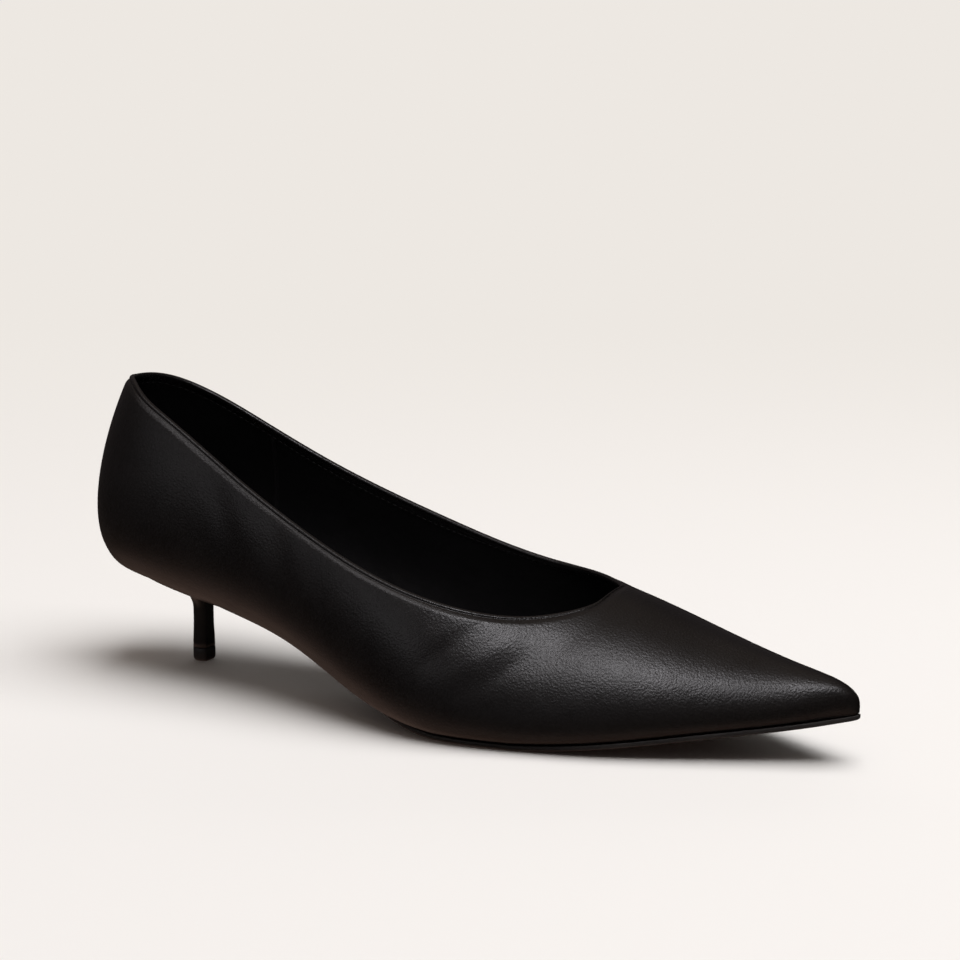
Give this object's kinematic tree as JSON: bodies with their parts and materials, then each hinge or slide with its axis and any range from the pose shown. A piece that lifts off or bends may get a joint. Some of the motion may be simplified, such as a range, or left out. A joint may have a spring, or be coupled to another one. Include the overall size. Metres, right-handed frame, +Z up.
{
  "type": "kitten heel pump",
  "caption": "Pointed kitten heel pump for the right foot in smooth black leather: low-cut hollow upper, insole, thin sole with an arch, covered heel with a slim pin and a small top piece.",
  "frame": {"origin": "on the floor, under the middle of the shoe's box", "axes": "+X from the heel to the toe, +Y to the inner side of the foot, +Z up"},
  "size_m": [0.2682, 0.0762, 0.0959],
  "materials": {
    "upper_leather": "smooth black leather, satin",
    "sock": "matt black lining leather",
    "sole": "dark satin sole leather",
    "heel_cover": "smooth black leather, satin",
    "top_piece": "hard black, matt"
  },
  "bodies": {
    "root": {"upper": "upper_leather", "insole": "sock", "outsole": "sole", "heel": "heel_cover", "top_piece": "top_piece"}
  },
  "joints": []
}
